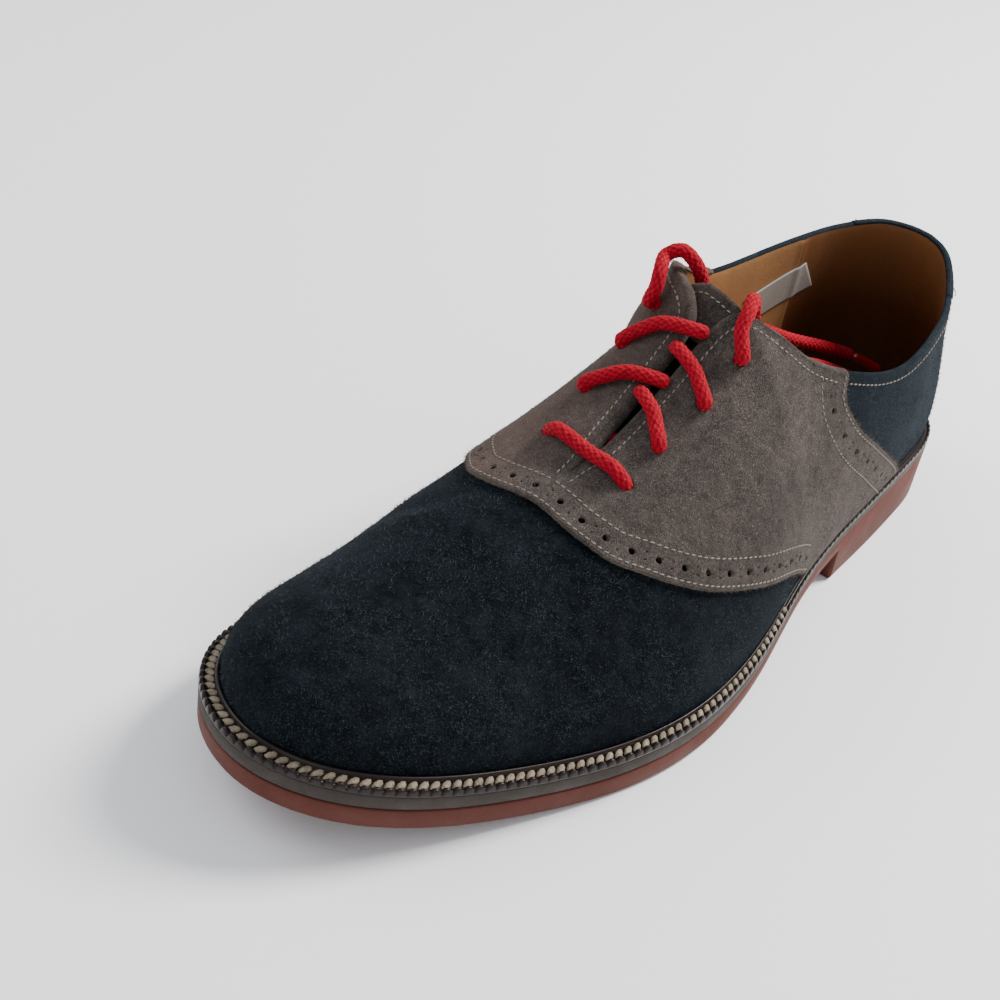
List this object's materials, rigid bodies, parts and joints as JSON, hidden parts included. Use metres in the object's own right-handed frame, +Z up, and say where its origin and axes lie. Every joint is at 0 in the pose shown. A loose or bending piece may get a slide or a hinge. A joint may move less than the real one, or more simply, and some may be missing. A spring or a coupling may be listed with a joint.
{
  "type": "saddle shoe",
  "caption": "Left lace-up saddle shoe with a suede upper, a contrasting punched saddle, braided laces, stitched welt and rubber sole, standing empty and unbent.",
  "frame": {"origin": "on the heel's tread, at the middle of the heel, on the plane that the shoe stands on", "axes": "-Y towards the toe, +X towards the outer (lateral) side of the foot, +Z up out of the collar"},
  "size_m": [0.1105, 0.304, 0.1098],
  "materials": {
    "navy_suede": "matte napped suede",
    "taupe_suede": "matte napped suede",
    "insole_leather": "smooth matte leather",
    "welt_leather": "polished dark leather",
    "midsole_edge": "matte trimmed edge",
    "sole_rubber": "matte brick-red rubber",
    "lace_cord": "round braided cord"
  },
  "bodies": {
    "root": {"upper": "navy_suede", "back_strap": "navy_suede", "saddle": "taupe_suede", "tongue": "taupe_suede", "insole": "insole_leather", "welt": "welt_leather", "midsole": "midsole_edge", "outsole": "sole_rubber", "lace_bar_1": "lace_cord", "lace_crossing_2": "lace_cord", "lace_crossing_3": "lace_cord", "lace_end_lateral": "lace_cord", "lace_end_medial": "lace_cord"}
  },
  "joints": []
}
